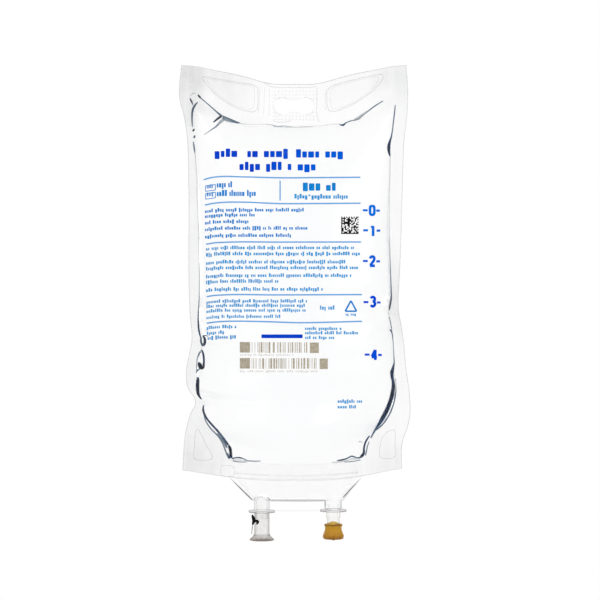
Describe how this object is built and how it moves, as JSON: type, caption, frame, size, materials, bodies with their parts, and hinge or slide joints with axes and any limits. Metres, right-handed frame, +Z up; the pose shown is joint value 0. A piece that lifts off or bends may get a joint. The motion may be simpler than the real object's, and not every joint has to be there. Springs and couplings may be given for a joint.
{
  "type": "iv fluid bag",
  "caption": "Filled clear film infusion bag with a dog bone hang slot, a funnel-shaped port saddle, a capped spike port and a rubber-stoppered medication port.",
  "frame": {"origin": "middle of the hang slot, level with its upper edge, midway between the two films", "axes": "+Z up as the bag hangs, +X to the right of someone reading the print, -Y towards that reader"},
  "size_m": [0.1289, 0.0492, 0.2648],
  "materials": {
    "clear_film": "gloss",
    "saline": "clear liquid",
    "clear_plastic": "gloss",
    "amber_rubber": "matt"
  },
  "bodies": {
    "bag": {"front_film": "clear_film", "back_film": "clear_film", "saline_solution": "saline", "port_saddle": "clear_plastic", "set_port_tube": "clear_plastic", "medication_port_tube": "clear_plastic", "medication_port_stopper": "amber_rubber", "port_tie_strip": "clear_plastic"},
    "protector": {"set_port_protector": "clear_plastic"}
  },
  "joints": [
    {"name": "protector_pull", "type": "slide", "parent": "bag", "child": "protector", "axis": [0, 0, -1], "range_m": [0, 0.03]}
  ]
}
